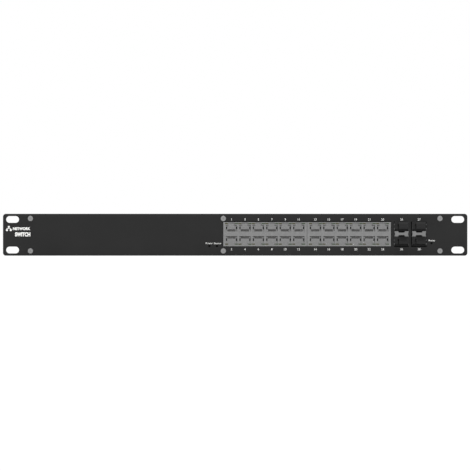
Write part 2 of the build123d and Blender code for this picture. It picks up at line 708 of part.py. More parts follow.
def heatsink_pins():
    """Two moulded push pins through the heatsink and the board."""
    made = []
    base_top = MAIN_TOP + 5.6
    for x, y in sink_pin_places():
        pin = rod_z(x, y, 3.4, (base_top + 4.0, base_top + 5.2))
        pin += rod_z(x, y, 1.5, (MAIN_TOP - BOARD_T - 0.5, base_top + 4.1))
        pin += Pos(x, y, MAIN_TOP - BOARD_T - 1.25) * Cone(0.8, 2.1, 1.5)
        made.append(pin)
    return merged(made)


def heatsink_springs():
    """The coil under each push pin's head, as stacked turns."""
    base_top = MAIN_TOP + 5.6
    made = []
    for x, y in sink_pin_places():
        for turn in range(4):
            made.append(Pos(x, y, base_top + 0.5 + turn * 0.98) * Torus(2.4, 0.42))
    return merged(made)


def line_chips():
    """The three line driver chips behind the jacks."""
    return merged(
        block((x - 7, x + 7), (y - 7, y + 7), (MAIN_TOP, MAIN_TOP + 1.2)) for x, y in PHY_AT
    )


def line_heatsinks():
    """A small finned heatsink stuck on each line driver."""
    made = []
    for x, y in PHY_AT:
        base_z = (MAIN_TOP + 1.2, MAIN_TOP + 3.2)
        sink = block((x - 9.5, x + 9.5), (y - 9.5, y + 9.5), base_z)
        for index in range(6):
            fin_x = x + (index - 2.5) * 3.56
            sink += block((fin_x - 0.5, fin_x + 0.5), (y - 9.5, y + 9.5), (base_z[1] - 0.2, 22.0))
        made.append(sink)
    return merged(made)


def small_chips():
    """Memory, flash, crystal can and regulators on the main board."""
    spans = [
        ((112, 122), (-18, -5), 1.1),
        ((112, 120), (4, 9), 1.6),
        ((100, 105), (20, 31), 1.3),
        ((20, 27), (-8, -1), 1.0),
        ((20, 27), (6, 13), 1.0),
        ((150, 157), (-20, -13), 0.9),
        ((170, 178), (-30, -22), 1.4),
        ((186, 194), (-30, -22), 1.4),
    ]
    return merged(block(xs, ys, (MAIN_TOP, MAIN_TOP + height)) for xs, ys, height in spans)


def board_inductors():
    """Moulded power inductors of the main board."""
    places = ((8, 4), (8, -14), (33, 22), (150, 5))
    return merged(
        block((x - 5, x + 5), (y - 5, y + 5), (MAIN_TOP, MAIN_TOP + 4.8)) for x, y in places
    )


def capacitor(x, y, base, radius, height):
    """A can capacitor standing on a board, with its rim rounded and a vent cross on top."""
    can = rod_z(x, y, radius, (base, base + height))
    can = fillet(can.edges().filter_by(GeomType.CIRCLE), min(0.8, radius * 0.2))
    top = base + height
    cross = block((x - radius * 0.5, x + radius * 0.5), (y - 0.2, y + 0.2), (top - 0.25, top + 1))
    cross += block((x - 0.2, x + 0.2), (y - radius * 0.5, y + radius * 0.5), (top - 0.25, top + 1))
    return can - cross


def board_capacitors():
    """Can capacitors of the main board."""
    places = ((-10, -2), (-10, -14), (-10, 10), (22, 32), (135, 20), (148, 20), (195, -5))
    return merged(capacitor(x, y, MAIN_TOP, 4.0, 11.5) for x, y in places)


# ---------------------------------------------------------------- indicators and reset switch

def indicators():
    """The power and status lamps in black holders that hang over the main board's front edge."""
    front, edge = MAIN_Y[0] - 2.2, MAIN_Y[0] - 0.1
    made = []
    for x in INDICATOR_X:
        holder = block((x - 1.8, x + 1.8), (front, edge), (8.2, MAIN_TOP + 2.0))
        holder += block((x - 1.8, x + 1.8), (edge - 0.1, edge + 3.0), (MAIN_TOP, MAIN_TOP + 2.0))
        holder -= rod_y(x, INDICATOR_Z, 1.2, (front - 1, front + 0.8))
        made.append(holder + rod_y(x, INDICATOR_Z, 0.8, (front + 0.3, front + 0.9)))
    return merged(made)


RESET_BODY_Y = (-94.0, -89.5)


def reset_switch_body():
    """The tactile switch lying on the board edge: a stepped bore holds its plunger."""
    ys = RESET_BODY_Y
    body = block((RESET_X - 3.3, RESET_X + 3.3), ys, (MAIN_TOP, RESET_Z + 3.0))
    body = fillet(body.edges().filter_by(Axis.Y), 0.4)
    body -= rod_y(RESET_X, RESET_Z, 1.5, (ys[0] - 1, ys[0] + 1.2))
    return body - rod_y(RESET_X, RESET_Z, 2.1, (ys[0] + 1.0, ys[1] - 0.7))


def reset_button():
    """The plunger: it slides into the switch and stops on its collar."""
    ys = RESET_BODY_Y
    plunger = rod_y(RESET_X, RESET_Z, 1.43, (WALL_BACK - 0.4, ys[0] + 1.5))
    plunger = chamfer(plunger.edges().filter_by(GeomType.CIRCLE).sort_by(Axis.Y)[0], 0.3)
    return plunger + rod_y(RESET_X, RESET_Z, 2.0, (ys[0] + 1.26, ys[0] + 2.7))


def reset_dome():
    """The snap dome that returns the plunger, a thin curved disc at the end of the bore."""
    end, rim_r, height, thick = RESET_BODY_Y[1] - 0.72, 1.95, 0.6, 0.1
    ball_r = (rim_r**2 + height**2) / (2 * height)
    centre = Pos(RESET_X, end - height + ball_r, RESET_Z)
    shell = Sphere(ball_r) - Sphere(ball_r - thick)
    return (centre * shell) & rod_y(RESET_X, RESET_Z, rim_r, (end - height - 1, end))


# ---------------------------------------------------------------- power supply

def psu_board():
    """The power supply's circuit board."""
    board = block(PSU_X, PSU_Y, (PSU_TOP - BOARD_T, PSU_TOP))
    board = fillet(board.edges().filter_by(Axis.Z), 1.5)
    return board - [rod_z(x, y, 1.7, (0, 20)) for x, y in PSU_POSTS]


def psu_insulator():
    """The insulating sheet between the supply board and the floor."""
    sheet = block((PSU_X[0] + 1, PSU_X[1] - 1), (PSU_Y[0] + 1, PSU_Y[1] - 1), (1.1, 1.5))
    return sheet - [rod_z(x, y, 3.4, (0, 5)) for x, y in PSU_POSTS]


def psu_transformer():
    """The switching transformer: a wound bobbin between the halves of a ferrite core."""
    centre = (-140.0, 30.0)
    x, y = centre
    core = block((x - 15, x + 15), (y - 12, y + 12), (PSU_TOP + 4, PSU_TOP + 24))
    core -= block((x - 16, x + 16), (y - 8, y + 8), (PSU_TOP + 8, PSU_TOP + 20))
    winding = block((x - 18, x + 18), (y - 7.9, y + 7.9), (PSU_TOP + 8.1, PSU_TOP + 19.9))
    winding = fillet(winding.edges().filter_by(Axis.X), 1.5)
    base = block((x - 14, x + 14), (y - 13, y + 13), (PSU_TOP, PSU_TOP + 3.9))
    return merged([core, winding, base])


def psu_capacitors():
    """The bulk capacitor and the output capacitors of the supply."""
    made = [capacitor(-185, 8, PSU_TOP, 9.0, 30.0)]
    made += [capacitor(x, y, PSU_TOP, 5.0, 20.0) for x, y in ((-108, 12), (-108, 24), (-120, 6))]
    return merged(made)


def psu_filter():
    """The mains filter: a choke on its former and a box capacitor."""
    choke = rod_z(-196, 50, 9.0, (PSU_TOP, PSU_TOP + 14)) - rod_z(-196, 50, 4.0, (0, 60))
    box = block((-176, -158), (46, 54), (PSU_TOP, PSU_TOP + 15))
    return merged([choke, fillet(box.edges().filter_by(Axis.Z), 0.8)])


def psu_heatsinks():
    """Two bent-plate heatsinks for the supply's switching parts."""
    made = []
    for xs, y, lip_y in (((-174, -146), 12, (4, 12)), ((-132, -104), 46, (46, 54))):
        plate = block(xs, (y - 1.2, y + 1.2), (PSU_TOP, PSU_TOP + 24))
        made.append(plate + block(xs, lip_y, (PSU_TOP + 21.8, PSU_TOP + 24)))
    return merged(made)


def psu_transistors():
    """The switching transistor and the rectifier, one on each heatsink."""
    made = []
    for x, y in ((-160, 10.8), (-118, 44.8)):
        made.append(block((x - 5, x + 5), (y - 4.4, y), (PSU_TOP + 4, PSU_TOP + 19)))
    return merged(made)


def psu_fuse():
    """The glass fuse in its two clips."""
    y, z = 62.0, PSU_TOP + 4.0
    tube = rod_x(y, z, 2.4, (-206 + 18, -186 + 18))
    caps = rod_x(y, z, 2.6, (-188, -182)) + rod_x(y, z, 2.6, (-174, -168))
    clips = block((-187, -183), (y - 2.0, y + 2.0), (PSU_TOP, z))
    clips += block((-173, -169), (y - 2.0, y + 2.0), (PSU_TOP, z))
    return tube + caps + clips


def wire_headers():
    """The white wire headers: mains in, supply out and main board in."""
    mains = block((-156, -144), (64, 72), (PSU_TOP, PSU_TOP + 8))
    out = block((-101, -93), (32, 48), (PSU_TOP, PSU_TOP + 8))
    entry = block((-38, -30), (-3, 13), (MAIN_TOP, MAIN_TOP + 8))
    return merged([mains, out, entry])


# ---------------------------------------------------------------- back wall pieces

INLET_BLADES = ((-7.0, -2.0), (7.0, -2.0), (0.0, 2.0))


def power_inlet():
    """The moulded mains inlet: flange, body and a chamfered recess for the lead's connector."""
    x, z = INLET_X, INLET_Z
    flange_y = (BACK + 0.02, BACK + INLET_FLANGE_T)
    half_w, half_h = INLET_FLANGE_W / 2, INLET_FLANGE_H / 2
    flange = block((x - half_w, x + half_w), flange_y, (z - half_h, z + half_h))
    flange = fillet(flange.edges().filter_by(Axis.Y), 4.0)
    flange = chamfer(flange.faces().sort_by(Axis.Y)[-1].edges(), 0.5)
    body = block((x - 14, x + 14), (BACK - 18, BACK + 0.5), (z - 10.2, z + 10.2))
    body = fillet(body.edges().filter_by(Axis.Y), 1.5)
    recess = block((x - 12.1, x + 12.1), (BACK - 14.5, BACK + 5), (z - 8.1, z + 8.1))
    upper = recess.edges().filter_by(Axis.Y).group_by(Axis.Z)[-1]
    recess = chamfer(upper, 4.2)
    inlet = flange + body - recess
    for side in (-1, 1):
        hole_x = x + side * INLET_SCREW_SPACING / 2
        inlet -= rod_y(hole_x, z, 1.65, (BACK - 1, BACK + 5))
        inlet -= Pos(hole_x, BACK + INLET_FLANGE_T - 0.9, z) * Rot(-90, 0, 0) * Cone(1.65, 3.35, 1.8)
    for dx, dz in INLET_BLADES:
        passage_z = (z + dz - 2.05, z + dz + 2.05)
        inlet -= block((x + dx - 1.05, x + dx + 1.05), (BACK - 19, BACK - 14), passage_z)
    return inlet


def inlet_blades():
    """The three blades of the inlet, with flat tabs for the wires behind."""
    made = []
    for dx, dz in INLET_BLADES:
        x, z = INLET_X + dx, INLET_Z + dz
        tip = BACK - 0.5 if dx == 0 else BACK - 2.0
        blade = block((x - 1.0, x + 1.0), (BACK - 18.5, tip), (z - 2.0, z + 2.0))
        blade = chamfer(blade.faces().sort_by(Axis.Y)[-1].edges(), 0.5)
        tab = block((x - 0.4, x + 0.4), (BACK - 26, BACK - 18.4), (z - 2.4, z + 2.4))
        made.append(blade + tab)
    return merged(made)


def inlet_screws():
    """Two flat screws and their nuts, which hold the inlet."""
    made = []
    for side in (-1, 1):
        place = Pos(INLET_X + side * INLET_SCREW_SPACING / 2, BACK + INLET_FLANGE_T - 0.05, INLET_Z)
        head = Pos(0, 0, -0.8) * Cone(1.5, 3.1, 1.6)
        cross = Box(3.0, 0.7, 1.6) + Box(0.7, 3.0, 1.6)
        screw = head + Pos(0, 0, -5.0) * Cylinder(1.45, 7.0) - cross
        nut = Pos(0, 0, -INLET_FLANGE_T - SHEET - 1.25) * extrude(
            RegularPolygon(2.75, 6, major_radius=False) - Circle(1.5), 1.2, both=True
        )
        made += [place * Rot(-90, 0, 0) * screw, place * Rot(-90, 0, 0) * nut]
    return merged(made)


def ground_stud():
    """The stepped earthing stud: a head inside, a thick root under the nut, and a free end."""
    free = rod_y(STUD_X, STUD_Z, STUD_R, (BACK + STUD_ROOT - 0.1, BACK + STUD_PROUD))
    tip = free.edges().filter_by(GeomType.CIRCLE).sort_by(Axis.Y)[-1]
    root = rod_y(STUD_X, STUD_Z, STUD_ROOT_R, (BACK - SHEET - 0.1, BACK + STUD_ROOT))
    head = rod_y(STUD_X, STUD_Z, 4.5, (BACK - SHEET - 1.6, BACK - SHEET - 0.02))
    return chamfer(tip, 0.4) + root + head


def ground_nut():
    """The earthing nut and the toothed washer under it."""
    place = Pos(STUD_X, STUD_Z)
    outer_r = 4.8
    washer = Circle(outer_r) - Circle(STUD_ROOT_R + 0.05)
    washer = wall_xz(place * washer, (BACK + 0.02, BACK + 0.7))
    teeth = 12
    for index in range(teeth):
        turn = Pos(STUD_X, BACK + 0.35, STUD_Z) * Rot(0, 360 / teeth * index, 0)
        washer -= turn * Pos(outer_r, 0, 0) * Box(1.3, 2, 0.7)
    hexagon = RegularPolygon(4.0, 6, major_radius=False) - Circle(STUD_ROOT_R + 0.04)
    return merged([washer, wall_xz(place * hexagon, (BACK + 0.72, BACK + 3.9))])


# ---------------------------------------------------------------- wiring inside the case

def wire(points, radius, bends):
    """A round wire along straight runs joined by tangent arcs."""
    path = FilletPolyline(*points, radius=bends)
    start = Plane(origin=path @ 0, z_dir=path % 0)
    return sweep(start * Circle(radius), path=path)


def mains_wires():
    """Live and neutral from the inlet's tabs to the supply's header."""
    start_y = BACK - 26.1
    made = []
    for dx, end_x, rise in ((7.0, -147.5, 0.0), (-7.0, -152.5, 3.5)):
        x, z = INLET_X + dx, INLET_Z - 2.0
        points = [
            (x, start_y, z),
            (x, start_y - 5.0 - rise, z),
            (end_x, 68.0, z + 10.0 + rise),
            (end_x, 68.0, PSU_TOP + 8.1),
        ]
        made.append(wire(points, 1.0, [1.8, 3.0]))
    return merged(made)


def ground_wire():
    """The earth wire from the inlet's middle tab, with its ring terminal under the stud's head."""
    start_y, z = BACK - 26.1, INLET_Z + 2.0
    end_y = BACK - 5.0
    points = [
        (INLET_X, start_y, z),
        (INLET_X, start_y - 4.5, z),
        (-166.0, 74.0, z + 9.0),
        (-142.0, 88.0, z + 8.0),
        (STUD_X, end_y, STUD_Z + 16.0),
        (STUD_X, end_y, STUD_Z + 8.0),
    ]
    lead = wire(points, 1.0, [1.6, 5.0, 5.0, 3.0])
    ring_y = (BACK - SHEET - 2.5, BACK - SHEET - 1.7)
    neck_x = (STUD_X - 1.4, STUD_X + 1.4)
    ring = wall_xz(Pos(STUD_X, STUD_Z) * (Circle(4.2) - Circle(1.0)), ring_y)
    ring += block(neck_x, ring_y, (STUD_Z + 3, STUD_Z + 7))
    ring += block(neck_x, (end_y - 0.5, ring_y[1]), (STUD_Z + 6.0, STUD_Z + 7.0))
    ring += rod_z(STUD_X, end_y, 1.7, (STUD_Z + 6.0, STUD_Z + 7.9))
    return merged([lead, ring])


def supply_harness():
    """Four low-voltage wires from the supply to the main board."""
    made = []
    for index in range(4):
        shift = (index - 1.5) * 3.6
        start_y, end_y = 40.0 + shift, 5.0 + shift
        points = [
            (-97.0, start_y, PSU_TOP + 8.1),
            (-97.0, start_y, 25.0),
            (-78.0, start_y - 8.0, 26.0),
            (-52.0, end_y + 9.0, 27.0),
            (-34.0, end_y, 26.0),
            (-34.0, end_y, MAIN_TOP + 8.1),
        ]
        made.append(wire(points, 0.9, [3.4, 8.0, 8.0, 3.6]))
    return merged(made)


# ---------------------------------------------------------------- write one STEP per sub-part

left_block, right_block = JACK_BLOCK_X
left_cage, right_cage = CAGE_X

PARTS = {
    "front_plate": front_plate(),
    "base_tray": base_tray(),
    "top_cover": top_cover(),
    "face_screws": face_screws(),
    "face_nuts": face_nuts(),
    "cover_screws": cover_screws(),
    "cover_nuts": cover_nuts(),
    "jack_shield_left": jack_shield(left_block),
    "jack_shield_right": jack_shield(right_block),
    "jack_housing_left": jack_housing(left_block),
    "jack_housing_right": jack_housing(right_block),
    "jack_contacts_left": jack_contacts(left_block),
    "jack_contacts_right": jack_contacts(right_block),
    "jack_lenses_yellow": jack_lenses(0),
    "jack_lenses_green": jack_lenses(1),
    "module_cage_left": module_cage(left_cage),
    "module_cage_right": module_cage(right_cage),
    "cage_collars": cage_collars(),
    "cage_bezel_left": cage_bezel(left_cage),
    "cage_bezel_right": cage_bezel(right_cage),
    "cage_latches": cage_latches(),
    "module_connectors": module_connectors(),
    "dust_plug_upper_left": dust_plug(left_cage, "upper"),
    "dust_plug_lower_left": dust_plug(left_cage, "lower"),
    "dust_plug_upper_right": dust_plug(right_cage, "upper"),
    "dust_plug_lower_right": dust_plug(right_cage, "lower"),
    "main_board": main_board(),
    "board_posts": board_posts(),
    "board_screws": board_screws(),
    "switch_chip": switch_chip(),
    "thermal_pad": thermal_pad(),
    "switch_heatsink": switch_heatsink(),
    "heatsink_pins": heatsink_pins(),
    "heatsink_springs": heatsink_springs(),
    "line_chips": line_chips(),
    "line_heatsinks": line_heatsinks(),
    "small_chips": small_chips(),
    "board_inductors": board_inductors(),
    "board_capacitors": board_capacitors(),
    "indicators": indicators(),
    "reset_switch_body": reset_switch_body(),
    "reset_button": reset_button(),
    "reset_dome": reset_dome(),
    "psu_board": psu_board(),
    "psu_insulator": psu_insulator(),
    "psu_transformer": psu_transformer(),
    "psu_capacitors": psu_capacitors(),
    "psu_filter": psu_filter(),
    "psu_heatsinks": psu_heatsinks(),
    "psu_transistors": psu_transistors(),
    "psu_fuse": psu_fuse(),
    "wire_headers": wire_headers(),
    "power_inlet": power_inlet(),
    "inlet_blades": inlet_blades(),
    "inlet_screws": inlet_screws(),
    "ground_stud": ground_stud(),
    "ground_nut": ground_nut(),
    "mains_wires": mains_wires(),
    "ground_wire": ground_wire(),
    "supply_harness": supply_harness(),
}

os.makedirs("parts", exist_ok=True)
for name, shape in PARTS.items():
    export_step(shape, f"parts/{name}.step")
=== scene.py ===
import math

import bmesh
import bpy
import numpy as np
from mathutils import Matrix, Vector


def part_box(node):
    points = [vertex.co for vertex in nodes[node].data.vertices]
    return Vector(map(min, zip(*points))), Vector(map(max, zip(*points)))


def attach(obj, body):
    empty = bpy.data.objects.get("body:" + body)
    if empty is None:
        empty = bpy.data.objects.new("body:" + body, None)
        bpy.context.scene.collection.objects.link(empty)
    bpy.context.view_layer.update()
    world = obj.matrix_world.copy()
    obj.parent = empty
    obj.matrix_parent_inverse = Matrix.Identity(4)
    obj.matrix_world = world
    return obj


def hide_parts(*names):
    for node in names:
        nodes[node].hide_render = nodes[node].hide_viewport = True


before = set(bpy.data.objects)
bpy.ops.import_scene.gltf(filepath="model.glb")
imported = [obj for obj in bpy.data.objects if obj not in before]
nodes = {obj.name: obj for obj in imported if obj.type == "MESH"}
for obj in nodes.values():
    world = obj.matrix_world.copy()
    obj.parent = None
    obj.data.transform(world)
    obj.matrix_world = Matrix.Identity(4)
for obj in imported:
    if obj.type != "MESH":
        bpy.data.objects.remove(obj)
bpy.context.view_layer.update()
MM = 0.001


# Front panel: a 2 mm steel rack plate, laser-cut and coated with fine matt black powder. The powder
# gives an even charcoal with a very fine grain and hardly any shine. Its patches are two close
# shades of the same black, a few centimetres across.

def linear(hex_colour):
    """An sRGB hex colour as linear red, green, blue and alpha."""
    channels = np.array([int(hex_colour[start : start + 2], 16) for start in (1, 3, 5)]) / 255
    curve = np.where(channels <= 0.04045, channels / 12.92, ((channels + 0.055) / 1.055) ** 2.4)
    return (*curve.tolist(), 1.0)


def add_node(tree, kind, inputs=(), **properties):
    """Adds a node with its properties; each input takes a value, or a link from another output."""
    made = tree.nodes.new(kind)
    for name, value in properties.items():
        setattr(made, name, value)
    for name, value in dict(inputs).items():
        if isinstance(value, bpy.types.NodeSocket):
            tree.links.new(value, made.inputs[name])
        else:
            made.inputs[name].default_value = value
    return made


def start_material(name, **values):
    """A material with only a Principled shader, its sockets set directly, and object coordinates."""
    material = bpy.data.materials.new(name)
    material.use_nodes = True
    tree = material.node_tree
    tree.nodes.clear()
    sockets = {key.replace("_", " ").title().replace("Ior", "IOR"): values[key] for key in values}
    shader = add_node(tree, "ShaderNodeBsdfPrincipled", sockets)
    add_node(tree, "ShaderNodeOutputMaterial", {"Surface": shader.outputs["BSDF"]})
    place = add_node(tree, "ShaderNodeTexCoord").outputs["Object"]
    return material, tree, shader, place


def grain(name, dark, light, size_mm, depth_mm, patch_mm=40.0, **values):
    """A surface with a fine grain of a real size, and slow patches between two close colours. The
    grain's noise and the patches' noise are averaged, and the middle of that range is stretched."""
    noise_low, noise_high = 0.35, 0.65
    material, tree, shader, place = start_material(name, **values)
    fine = add_node(
        tree,
        "ShaderNodeTexNoise",
        {"Vector": place, "Scale": 1 / (size_mm * MM), "Detail": 3.0, "Roughness": 0.6},
    )
    slow = add_node(
        tree, "ShaderNodeTexNoise", {"Vector": place, "Scale": 1 / (patch_mm * MM), "Detail": 2.0}
    )
    both = add_node(tree, "ShaderNodeMix", {0: 0.5, 2: fine.outputs[0], 3: slow.outputs[0]})
    tint = add_node(
        tree,
        "ShaderNodeMapRange",
        {"Value": both.outputs[0], "From Min": noise_low, "From Max": noise_high},
    )
    colour = add_node(
        tree,
        "ShaderNodeMix",
        {"Factor": tint.outputs["Result"], 6: linear(dark), 7: linear(light)},
        data_type="RGBA",
    )
    bump = add_node(
        tree,
        "ShaderNodeBump",
        {"Height": fine.outputs[0], "Distance": depth_mm * MM, "Strength": 1.0},
    )
    tree.links.new(colour.outputs[2], shader.inputs["Base Color"])
    tree.links.new(bump.outputs["Normal"], shader.inputs["Normal"])
    return material


def dress(material, *names):
    """Gives the named CAD nodes this material in every slot."""
    for name in names:
        for slot in nodes[name].material_slots:
            slot.material = material


powder_coat = grain(
    "fine_black_powder_coat",
    "#202020",
    "#242424",
    size_mm=0.35,
    depth_mm=0.02,
    roughness=0.78,
    specular_ior_level=0.15,
)
dress(powder_coat, "front_plate")
plate_low, plate_high = (np.array(corner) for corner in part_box("front_plate"))
plate_front = plate_low[1]
plate_middle_z = (plate_low[2] + plate_high[2]) / 2


# Print on the panel: white screen-printed ink, 0.03 mm thick, in a plain sans-serif face. At the
# left it says what the object is, beside a small tree of three boxes, and the rest is port numbers
# and the lamps' and reset hole's labels.

INK_THICKNESS = 0.03 * MM
NUMBER_HEIGHT = 2.15 * MM
LABEL_HEIGHT = 1.7 * MM


def flat_letters(text, weight):
    """Letters as a closed slab in the XY plane, a unit high, their baseline at y = 0. The weight
    moves each outline outwards."""
    half_thickness = 0.01
    curve = bpy.data.curves.new("letters", "FONT")
    curve.body = text
    curve.extrude = half_thickness
    curve.offset = weight
    curve.resolution_u = 6
    holder = bpy.data.objects.new("letters", curve)
    bpy.context.collection.objects.link(holder)
    bpy.context.view_layer.update()
    mesh = bpy.data.meshes.new_from_object(holder)
    bpy.data.objects.remove(holder)
    bpy.data.curves.remove(curve)
    return mesh


def vertices_of(mesh):
    """All vertex places of a mesh as an array."""
    places = np.empty(len(mesh.vertices) * 3, dtype=np.float32)
    mesh.vertices.foreach_get("co", places)
    return places.reshape(-1, 3)


def print_words(name, words, height, weight):
    """Words standing on the panel as one mesh, their capitals of one height. A word is its text, the
    z of its middle, and its left and right edge, or its middle and None to keep its own width."""
    cap = np.ptp(vertices_of(flat_letters("H", weight))[:, 1])
    sheet = bmesh.new()
    for text, z, first, last in words:
        mesh = flat_letters(text, weight)
        flat = vertices_of(mesh)
        left, right = flat[:, 0].min(), flat[:, 0].max()
        tall = height / cap
        wide = tall if last is None else (last - first) / (right - left)
        middle = first if last is None else (first + last) / 2
        placed = np.empty_like(flat)
        placed[:, 0] = middle + (flat[:, 0] - (left + right) / 2) * wide
        placed[:, 1] = plate_front - np.where(flat[:, 2] > 0, INK_THICKNESS, -INK_THICKNESS)
        placed[:, 2] = z + (flat[:, 1] - cap / 2) * tall
        mesh.vertices.foreach_set("co", placed.ravel())
        sheet.from_mesh(mesh)
        bpy.data.meshes.remove(mesh)
    bmesh.ops.remove_doubles(sheet, verts=sheet.verts, dist=1e-8)
    made = bpy.data.meshes.new(name)
    sheet.to_mesh(made)
    sheet.free()
    return finish_print(name, made)


def finish_print(name, mesh):
    """Puts a printed mesh on the panel, with its ink."""
    piece = bpy.data.objects.new(name, mesh)
    bpy.context.collection.objects.link(piece)
    mesh.materials.append(ink)
    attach(piece, "root")
    return piece


ink = grain(
    "white_screen_print_ink",
    "#dededc",
    "#e8e8e6",
    size_mm=0.2,
    depth_mm=0.004,
    roughness=0.6,
    specular_ior_level=0.2,
)

# Port numbers: odd over the upper row, even under the lower row, then the four module bays.
shield_left, shield_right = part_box("jack_shield_left"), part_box("jack_shield_right")
UPPER_NUMBERS_Z, LOWER_NUMBERS_Z = 37.6 * MM, 6.65 * MM
PORTS_A_ROW, PORT_PITCH = 6, 13.97 * MM
number_words = []
for block, (low, high) in enumerate((shield_left, shield_right)):
    first_x = (low[0] + high[0]) / 2 - PORT_PITCH * (PORTS_A_ROW - 1) / 2
    for column in range(PORTS_A_ROW):
        odd = (block * PORTS_A_ROW + column) * 2 + 1
        column_x = first_x + PORT_PITCH * column
        number_words.append((str(odd), UPPER_NUMBERS_Z, column_x, None))
        number_words.append((str(odd + 1), LOWER_NUMBERS_Z, column_x, None))
for cage, first in (("module_cage_left", 25), ("module_cage_right", 27)):
    low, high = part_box(cage)
    middle = (low[0] + high[0]) / 2
    number_words.append((str(first), UPPER_NUMBERS_Z, middle, None))
    number_words.append((str(first + 1), LOWER_NUMBERS_Z, middle, None))
print_words("port_numbers", number_words, NUMBER_HEIGHT, weight=-0.004)

LAMP_LABELS_Z, RESET_LABEL_Z = 12.85 * MM, 15.8 * MM
label_words = [
    ("Power", LAMP_LABELS_Z, -30.6 * MM, -23.2 * MM),
    ("Status", LAMP_LABELS_Z, -22.2 * MM, -14.7 * MM),
    ("Reset", RESET_LABEL_Z, 201.1 * MM, 207.6 * MM),
]
print_words("small_labels", label_words, LABEL_HEIGHT, weight=0.0)

# The two bold lines end at the same place.
BOLD, LINES_END_X = 0.05, -212.9 * MM
TITLE_Z, KIND_Z = 28.2 * MM, 22.4 * MM
print_words("title_line", [("NETWORK", TITLE_Z, -231.0 * MM, LINES_END_X)], 2.9 * MM, BOLD)
print_words("kind_line", [("SWITCH", KIND_Z, -228.8 * MM, LINES_END_X)], 4.3 * MM, BOLD)


def tree_sign():
    """A plain network tree as one outline: a box on a stem, a bar, and two boxes hung below. The
    stem, the bar and the hangers are all two arms thick."""
    box, arm, half_width, half_height = 1.9, 0.25, 2.95, 2.6
    upper_box_z, lower_boxes_z = 0.9, -0.8
    hanger = half_width - box / 2
    right_half = [
        (box / 2, half_height),
        (box / 2, upper_box_z),
        (arm, upper_box_z),
        (arm, arm),
        (hanger + arm, arm),
        (hanger + arm, lower_boxes_z),
        (half_width, lower_boxes_z),
        (half_width, -half_height),
        (half_width - box, -half_height),
        (half_width - box, lower_boxes_z),
        (hanger - arm, lower_boxes_z),
        (hanger - arm, -arm),
    ]
    left_half = [(-x, z) for x, z in reversed(right_half)]
    outline = np.array(right_half + left_half) * MM
    centre = np.array([-235.2 * MM, TITLE_Z])
    count = len(outline)
    front = np.insert(outline + centre, 1, plate_front - INK_THICKNESS, axis=1)
    back = np.insert(outline + centre, 1, plate_front + INK_THICKNESS, axis=1)
    ring = np.arange(count)
    following = (ring + 1) % count
    sides = np.stack([ring, ring + count, following + count, following], axis=1).tolist()
    mesh = bpy.data.meshes.new("tree_sign")
    faces = [ring[::-1].tolist(), (ring + count).tolist(), *sides]
    mesh.from_pydata(np.concatenate([front, back]).tolist(), [], faces)
    tidy = bmesh.new()
    tidy.from_mesh(mesh)
    bmesh.ops.recalc_face_normals(tidy, faces=tidy.faces)
    tidy.to_mesh(mesh)
    tidy.free()
    return finish_print("tree_sign", mesh)


tree_sign()


# Case: a folded sheet-steel tray and lid, painted matt black. The paint lies a little uneven, so
# it has a fine orange peel.

case_paint = grain(
    "matt_black_case_paint",
    "#242425",
    "#29292a",
    size_mm=0.9,
    depth_mm=0.012,
    patch_mm=70.0,
    roughness=0.78,
    specular_ior_level=0.15,
)
dress(case_paint, "base_tray", "top_cover")


# Screws and nuts: steel with a satin nickel or zinc plate. The plate is grey, with faint cloudy
# patches, and catches light on the domed heads' rims.

def plated(name, dark, light, size_mm, roughness, metallic=1.0):
    """A plated metal: cloudy patches in its colour, and a roughness that follows them."""
    uneven = 0.08
    material, tree, shader, place = start_material(name, metallic=metallic, roughness=roughness)
    cloud = add_node(
        tree,
        "ShaderNodeTexNoise",
        {"Vector": place, "Scale": 1 / (size_mm * MM), "Detail": 5.0, "Roughness": 0.65},
    )
    colour = add_node(
        tree,
        "ShaderNodeMix",
        {"Factor": cloud.outputs[0], 6: linear(dark), 7: linear(light)},
        data_type="RGBA",
    )
    shine = add_node(
        tree,
        "ShaderNodeMapRange",
        {"Value": cloud.outputs[0], "To Min": roughness - uneven, "To Max": roughness + uneven},
    )
    tree.links.new(colour.outputs[2], shader.inputs["Base Color"])
    tree.links.new(shine.outputs["Result"], shader.inputs["Roughness"])
    return material


screw_plate = plated("satin_nickel_screw_plate", "#6c6c6c", "#7c7c7c", 0.6, 0.62)
zinc_plate = plated("clear_zinc_plate", "#8f9294", "#a9abac", 1.2, 0.42)
dress(screw_plate, "face_screws", "cover_screws", "inlet_screws")
dress(zinc_plate, "face_nuts", "cover_nuts", "board_posts", "board_screws", "ground_nut")


# Jack blocks: a nickel-plated brass can round a grey moulded body whose grey is painted near-black
# more than 14 mm in, as painted shade down the holes, spring contacts under a thin gold that lets
# the nickel grey through, darkened as painted shade in the contact comb, and lamp windows that are
# unlit, one faintly yellow and one faintly green.

can_plate = plated("satin_nickel_can", "#6f6f6f", "#777777", 3.0, 0.66)
jack_plastic = grain(
    "grey_moulded_jack_body",
    "#8c8c8c",
    "#919191",
    size_mm=0.3,
    depth_mm=0.01,
    roughness=0.6,
    specular_ior_level=0.3,
)


def blacken_behind(material, start_mm):
    """Paints a material near-black, as painted shade, further back from the jacks' faces than a
    depth.
    """
    blend = 0.2 * MM
    tree = material.node_tree
    shader = next(node for node in tree.nodes if node.type == "BSDF_PRINCIPLED")
    grey = shader.inputs["Base Color"].links[0].from_socket
    place = next(node for node in tree.nodes if node.type == "TEX_COORD").outputs["Object"]
    parts_of_place = add_node(tree, "ShaderNodeSeparateXYZ", {"Vector": place})
    start = shield_left[0][1] + start_mm * MM
    behind = add_node(
        tree,
        "ShaderNodeMapRange",
        {"Value": parts_of_place.outputs["Y"], "From Min": start, "From Max": start + blend},
    )
    # Past the depth the grey gives way to a near-black painted shade.
    colour = add_node(
        tree,
        "ShaderNodeMix",
        {"Factor": behind.outputs["Result"], 6: grey, 7: linear("#060606")},
        data_type="RGBA",
    )
    tree.links.new(colour.outputs[2], shader.inputs["Base Color"])
